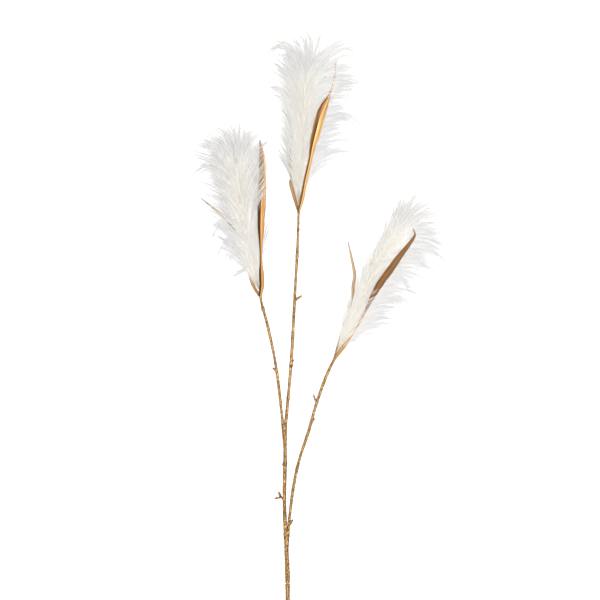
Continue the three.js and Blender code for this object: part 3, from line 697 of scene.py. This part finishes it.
def wrapped_stem(stem, rng):
    """Rings of a stem's own tube."""
    start, end = stem["span"]
    ys = np.linspace(start, end, int((end - start) / RING_GAP) + 2)
    line = smooth_line(stem["line"], STEM_STEPS)
    points = np.column_stack([np.interp(ys, line[:, 0], line[:, 1]), ys, stem_height(ys)])
    at, radii = zip(*stem["radii"])
    radius = WRAP * np.interp(ys, at, radii)
    for y, added, half in stem["swellings"]:
        radius = radius + added * np.exp(-(((ys - y) / half) ** 2))
    return above_floor(round_rings(points, radius, STEM_FINISH, rng))


def sleeve(rows, rng):
    """Rings of an oval wrapping where a branch meets the main stem."""
    rows = smooth_line(rows, SLEEVE_STEPS)
    y, x, half_width, half_height = (rows[:, k:k + 1] for k in range(4))
    finish = SLEEVE_FINISH
    angle = round_angles(finish["sides"])[None]
    rough = 1 + finish["ridges"] * np.cos(SLEEVE_RIDGES * (angle + finish["turn"] * y))
    rough = rough + finish["grain"] * grains(rng, rough.shape)
    wide = x + half_width * np.cos(angle) * rough
    high = stem_height(y) + half_height * np.sin(angle) * rough
    return np.stack([wide, y * np.ones_like(wide), high], axis=-1)


def twig(rows, rng):
    """Rings of a short side twig or bud."""
    path = smooth_line([(x, y, stem_height(y) + rise, radius) for x, y, rise, radius in rows], TWIG_STEPS)
    return round_rings(path[:, :3], path[:, 3], TWIG_FINISH, rng)


def cup(side, rng):
    """Rings of the cup round a plume's foot."""
    axis = plume_axis(side)
    rows = np.arange(len(CUP_DISTANCES))
    at = np.linspace(0, rows[-1], CUP_RINGS)
    distance = np.interp(at, rows, CUP_DISTANCES)
    radius = CUP_RADIUS * np.interp(at, rows, CUP_SHARES)
    points = axis[0] + distance[:, None] * unit(axis[1] - axis[0])
    return round_rings(points, radius, CUP_FINISH, rng)


def stem_object(name):
    """A stem with its sleeves, its cup and its twigs."""
    stem = STEMS[name]
    rng = np.random.default_rng(stem["seed"])
    parts = Parts()
    parts.add(wrapped_stem(stem, rng))
    for rows in stem.get("sleeves", []):
        parts.add(sleeve(rows, rng))
    if "cup" in stem:
        parts.add(cup(stem["cup"], rng))
    for rows in stem.get("twigs", []):
        parts.add(twig(rows, rng))
    return parts.object(name + "_wrapped")


# Materials.

# Places of a colour mix's two inputs and of its output among the node's sockets.
MIX_A = 6
MIX_B = 7
MIXED = 2


def new_material(name):
    material = bpy.data.materials.new(name)
    material.use_nodes = True
    tree = material.node_tree
    return material, tree, tree.nodes["Principled BSDF"]


def strand(tree):
    """The two values that a mesh's UV holds."""
    uv = tree.nodes.new("ShaderNodeUVMap")
    uv.uv_map = "Strand"
    split = tree.nodes.new("ShaderNodeSeparateXYZ")
    tree.links.new(uv.outputs["UV"], split.inputs[0])
    return split.outputs["X"], split.outputs["Y"]


def ramp(tree, value, stops):
    """Colours by a value from 0 to 1."""
    node = tree.nodes.new("ShaderNodeValToRGB")
    elements = node.color_ramp.elements
    while len(elements) < len(stops):
        elements.new(0.5)
    for element, (at, colour) in zip(elements, stops):
        element.position = at
        element.color = (*colour, 1)
    tree.links.new(value, node.inputs["Fac"])
    return node.outputs["Color"]


def mixed(tree, blend, a, b):
    """A node that mixes two colours, at its full factor if nothing is linked to that."""
    node = tree.nodes.new("ShaderNodeMix")
    node.data_type = "RGBA"
    node.blend_type = blend
    node.inputs["Factor"].default_value = 1.0
    tree.links.new(a, node.inputs[MIX_A])
    tree.links.new(b, node.inputs[MIX_B])
    return node


def noise_texture(tree, scale, detail):
    coordinates = tree.nodes.new("ShaderNodeTexCoord")
    node = tree.nodes.new("ShaderNodeTexNoise")
    node.inputs["Scale"].default_value = scale
    node.inputs["Detail"].default_value = detail
    tree.links.new(coordinates.outputs["Object"], node.inputs["Vector"])
    return node.outputs["Fac"]


def scaled(tree, value, factor):
    node = tree.nodes.new("ShaderNodeMath")
    node.operation = "MULTIPLY"
    node.inputs[1].default_value = factor
    tree.links.new(value, node.inputs[0])
    return node.outputs[0]


def add_bump(tree, shader, height, strength, distance):
    node = tree.nodes.new("ShaderNodeBump")
    node.inputs["Strength"].default_value = strength
    node.inputs["Distance"].default_value = distance
    tree.links.new(height, node.inputs["Height"])
    tree.links.new(node.outputs["Normal"], shader.inputs["Normal"])


def hair_material():
    """Cream in the plume's middle; greyer and cooler towards its fringe, a painted shade for thin hair
    that looks grey against the floor; browner where the hair is shaded, also painted.
    """
    material, tree, shader = new_material("white_hair")
    depth, shade = strand(tree)
    # Colours by depth in the fringe: the greying towards the fringe is painted shade, for thin hair seen
    # against the bright floor.
    colours = ramp(tree, depth, [
        (0.0, (0.98, 0.95, 0.885)), (0.3, (0.98, 0.962, 0.93)), (0.5, (0.945, 0.937, 0.922)),
        (0.8, (0.9, 0.899, 0.9)), (1.0, (0.82, 0.822, 0.83)),
    ])
    # The ramp's darkest stops are painted shade: at nought the shade at the plume's foot, near 0.12 the
    # shade within the wisps.
    tone = ramp(tree, shade, [
        (0.0, (0.62, 0.55, 0.42)), (0.12, (0.79, 0.775, 0.75)), (0.3, (0.9, 0.892, 0.88)),
        (1.0, (1.0, 1.0, 1.0)),
    ])
    both = mixed(tree, "MULTIPLY", colours, tone)
    tree.links.new(both.outputs[MIXED], shader.inputs["Base Color"])
    shader.inputs["Roughness"].default_value = 0.6
    shader.inputs["Specular IOR Level"].default_value = 0.3
    return material


def gold_stem_material():
    """Coarse gold glitter on brown."""
    material, tree, shader = new_material("gold_glitter_stem")
    colours = ramp(tree, noise_texture(tree, 520, 3), [
        (0.36, (0.06, 0.027, 0.007)), (0.46, (0.18, 0.085, 0.022)), (0.54, (0.34, 0.175, 0.045)),
        (0.62, (0.55, 0.33, 0.11)), (0.72, (0.82, 0.6, 0.3)),
    ])
    tree.links.new(colours, shader.inputs["Base Color"])
    shader.inputs["Metallic"].default_value = 0.35
    shader.inputs["Roughness"].default_value = 0.45
    add_bump(tree, shader, noise_texture(tree, 1600, 2), strength=0.6, distance=0.0005)
    return material


# Colours across each leaf from its left edge to its right one, near its foot and near its tip, and the
# share of its length where they meet. On the broad leaves they hold painted light over the gilding: the
# dark bands are painted shade and painted dark reflections, the bright stripes are painted highlights, and
# the right broad leaf is in painted shade nearly all over.
LEAF_GILT_AND_PAINTED_LIGHT = {
    "left_broad": ([
        (0.0, (0.10, 0.045, 0.012)), (0.36, (0.06, 0.02, 0.003)), (0.44, (0.38, 0.2, 0.06)),
        (0.55, (0.7, 0.36, 0.10)), (0.8, (0.62, 0.32, 0.085)), (1.0, (0.42, 0.22, 0.08)),
    ], [
        (0.0, (0.42, 0.3, 0.2)), (0.2, (0.3, 0.19, 0.11)), (0.6, (0.33, 0.21, 0.13)),
        (0.78, (0.5, 0.34, 0.2)), (0.86, (0.85, 0.66, 0.44)), (1.0, (0.6, 0.4, 0.2)),
    ], 0.68),
    "centre_broad": ([
        (0.0, (0.5, 0.3, 0.12)), (0.12, (0.3, 0.14, 0.03)), (0.34, (0.11, 0.04, 0.004)),
        (0.46, (0.13, 0.05, 0.006)), (0.5, (0.82, 0.5, 0.2)), (0.74, (0.84, 0.5, 0.19)),
        (0.8, (0.4, 0.2, 0.06)), (0.87, (0.76, 0.47, 0.2)), (1.0, (0.7, 0.45, 0.2)),
    ], [
        (0.0, (0.5, 0.33, 0.15)), (0.08, (0.17, 0.07, 0.016)), (0.2, (0.18, 0.08, 0.02)),
        (0.3, (0.5, 0.26, 0.09)), (0.45, (0.6, 0.34, 0.15)), (0.53, (0.24, 0.11, 0.03)),
        (0.6, (0.95, 0.6, 0.28)), (0.72, (0.78, 0.42, 0.13)), (0.8, (0.36, 0.18, 0.05)),
        (1.0, (0.66, 0.4, 0.15)),
    ], 0.6),
    "right_broad": ([
        (0.0, (0.7, 0.45, 0.18)), (0.2, (0.3, 0.15, 0.04)), (0.35, (0.8, 0.52, 0.22)),
        (0.55, (0.28, 0.13, 0.035)), (0.7, (0.75, 0.47, 0.18)), (1.0, (0.4, 0.2, 0.06)),
    ], [
        (0.0, (0.45, 0.28, 0.11)), (0.1, (0.2, 0.09, 0.024)), (0.6, (0.21, 0.092, 0.024)),
        (0.8, (0.25, 0.13, 0.045)), (1.0, (0.17, 0.075, 0.02)),
    ], 0.3),
    "narrow": ([
        (0.0, (0.32, 0.18, 0.07)), (0.3, (0.5, 0.32, 0.15)), (0.6, (0.3, 0.18, 0.08)),
        (1.0, (0.46, 0.3, 0.15)),
    ], [
        (0.0, (0.32, 0.22, 0.14)), (0.4, (0.46, 0.34, 0.22)), (0.7, (0.28, 0.19, 0.12)),
        (1.0, (0.44, 0.33, 0.22)),
    ], 0.5),
}
BLACK = (0, 0, 0)
WHITE = (1, 1, 1)
BAND_BLEND = 0.08  # share of the leaf on either side of the place where its two sets of bands meet
STREAKS_ACROSS = 26.0
STREAKS_ALONG = 9.0


def gilt_and_painted_light_bands(tree, kind, along, across):
    """The colours near the foot, painted shade and painted highlights among them, which give way to those
    near the tip.
    """
    foot, tip, meet = LEAF_GILT_AND_PAINTED_LIGHT[kind]
    bands = mixed(tree, "MIX", ramp(tree, across, foot), ramp(tree, across, tip))
    nearness = ramp(tree, along, [(meet - BAND_BLEND, BLACK), (meet + BAND_BLEND, WHITE)])
    tree.links.new(nearness, bands.inputs["Factor"])
    return bands.outputs[MIXED]


def leaf_streaks(tree, along, across):
    """Noise that is drawn out along the leaf."""
    stretched = tree.nodes.new("ShaderNodeCombineXYZ")
    tree.links.new(scaled(tree, across, STREAKS_ACROSS), stretched.inputs["X"])
    tree.links.new(scaled(tree, along, STREAKS_ALONG), stretched.inputs["Y"])
    streaks = tree.nodes.new("ShaderNodeTexNoise")
    streaks.inputs["Scale"].default_value = 1.0
    tree.links.new(stretched.outputs[0], streaks.inputs["Vector"])
    return streaks.outputs["Fac"]


def painted_light_gold_leaf_material(kind):
    """Gilded bands along the leaf, painted shade and painted highlights among them, with fine streaks."""
    material, tree, shader = new_material("gilded_painted_light_leaf_" + kind)
    along, across = strand(tree)
    # These bands carry painted shade and painted highlights as well as the gilding.
    bands = gilt_and_painted_light_bands(tree, kind, along, across)
    streaks = leaf_streaks(tree, along, across)
    tone = ramp(tree, streaks, [(0.3, (0.6, 0.55, 0.5)), (0.7, (1.15, 1.12, 1.05))])
    both = mixed(tree, "MULTIPLY", bands, tone)
    tree.links.new(both.outputs[MIXED], shader.inputs["Base Color"])
    shader.inputs["Metallic"].default_value = 0.3
    shader.inputs["Roughness"].default_value = 0.5
    add_bump(tree, shader, streaks, strength=0.35, distance=0.0004)
    return material


def floor_material():
    material, _, shader = new_material("pale_floor")
    shader.inputs["Base Color"].default_value = (0.98, 0.98, 0.98, 1)
    shader.inputs["Roughness"].default_value = 0.9
    return material


# The spray.


def dress(obj, material, node):
    obj.data.materials.append(material)
    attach(obj, "root")
    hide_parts(node)


def plume_hair(side, rng):
    """The hairs of a plume by piece: label, lines and kind."""
    inner, outer, top = (
        cut_to_length(hair_lines(side, kind, rng), kind, rng) for kind in (INNER, OUTER, TOP)
    )
    wisps = cut_to_length(wisp_lines(side, rng), WISP, rng)
    half = len(inner) // 2
    return (
        ("inner_a", inner[:half], INNER), ("inner_b", inner[half:], INNER), ("fringe", outer, OUTER),
        ("top", top, TOP), ("wisps", wisps, WISP),
    )


def build_plume(side, material):
    rng = np.random.default_rng(PLUMES[side]["number"])
    for label, lines, kind in plume_hair(side, rng):
        lines[..., 2] = pressed(lines[..., 2])
        part_hair(lines, side, kind, rng)
        depth = np.minimum(fringe_share(side, lines), kind["fringe"])
        tone = np.repeat(rng.uniform(*kind["tone"], len(lines) // kind["per_guide"]), kind["per_guide"])
        shade = tone[:, None] * foot_shade(side, lines)
        obj = hair_object(f"plume_{side}_{label}", lines, kind["radius"], depth, shade)
        dress(obj, material, "plume_" + side)


def build_spray():
    hair = hair_material()
    gold = gold_stem_material()
    gilt_and_painted_light_materials = {kind: painted_light_gold_leaf_material(kind) for kind in LEAF_GILT_AND_PAINTED_LIGHT}
    for name in STEMS:
        dress(stem_object(name), gold, name)
    for name, (fold, rows) in LEAVES.items():
        leaf = leaf_object("leaf_" + name + "_gilded", fold, rows)
        dress(leaf, gilt_and_painted_light_materials.get(name, gilt_and_painted_light_materials["narrow"]), "leaf_" + name)
    for side in PLUMES:
        build_plume(side, hair)


# Stage, light and camera, in metres.

FLOOR_HALF = 6.0
FLOOR_GAP = 0.0006  # the floor lies this far under the spray
WORLD_LIGHT = 0.25
SENSOR = 36  # in millimetres, as the lens
VIEW_WIDTH = 0.9  # that the camera sees at the height of the plumes' axes
CAMERA_HEIGHT = 3.0
CAMERA_LEFT = 0.0007
ORIGIN_X = OFFSET[0] / MM
ORIGIN_Y = OFFSET[1] / MM
FAR_END = 50  # of what the camera sees

# Place of each light, the point that it faces, its size and its power.
LIGHTS = {
    "overhead": ((ORIGIN_X + 0.05, ORIGIN_Y, 3.1), (0, 0, 0), 0.3, 123),
    "key": ((1.6, 1.0, 2.2), (0, 0.05, 0), 1.2, 14),
}


def build_stage():
    h = FLOOR_HALF
    mesh = bpy.data.meshes.new("floor")
    mesh.from_pydata([(-h, -h, 0), (h, -h, 0), (h, h, 0), (-h, h, 0)], [], [(0, 1, 2, 3)])
    floor = bpy.data.objects.new("floor", mesh)
    floor.location.z = -FLOOR_GAP
    bpy.context.scene.collection.objects.link(floor)
    mesh.materials.append(floor_material())


def area_light(name, location, target, size, power):
    light = bpy.data.lights.new(name, "AREA")
    light.shape = "SQUARE"
    light.size = size
    light.energy = power
    obj = bpy.data.objects.new(name, light)
    obj.location = location
    direction = Vector(target) - Vector(location)
    obj.rotation_euler = direction.to_track_quat("-Z", "Y").to_euler()
    bpy.context.scene.collection.objects.link(obj)


def build_light():
    world = bpy.data.worlds.new("studio")
    bpy.context.scene.world = world
    world.use_nodes = True
    background = world.node_tree.nodes["Background"]
    background.inputs["Color"].default_value = (1, 1, 1, 1)
    background.inputs["Strength"].default_value = WORLD_LIGHT
    for name, (place, target, size, power) in LIGHTS.items():
        area_light(name, place, target, size, power)


def build_camera():
    camera = bpy.data.cameras.new("camera")
    camera.sensor_width = SENSOR
    camera.lens = SENSOR * (CAMERA_HEIGHT - AXIS_HEIGHT / MM) / VIEW_WIDTH
    camera.clip_end = FAR_END
    obj = bpy.data.objects.new("camera", camera)
    obj.location = (ORIGIN_X - CAMERA_LEFT, ORIGIN_Y, CAMERA_HEIGHT)
    bpy.context.scene.collection.objects.link(obj)
    bpy.context.scene.camera = obj
    bpy.context.scene.view_settings.view_transform = "Standard"


build_camera()
build_spray()
build_stage()
build_light()
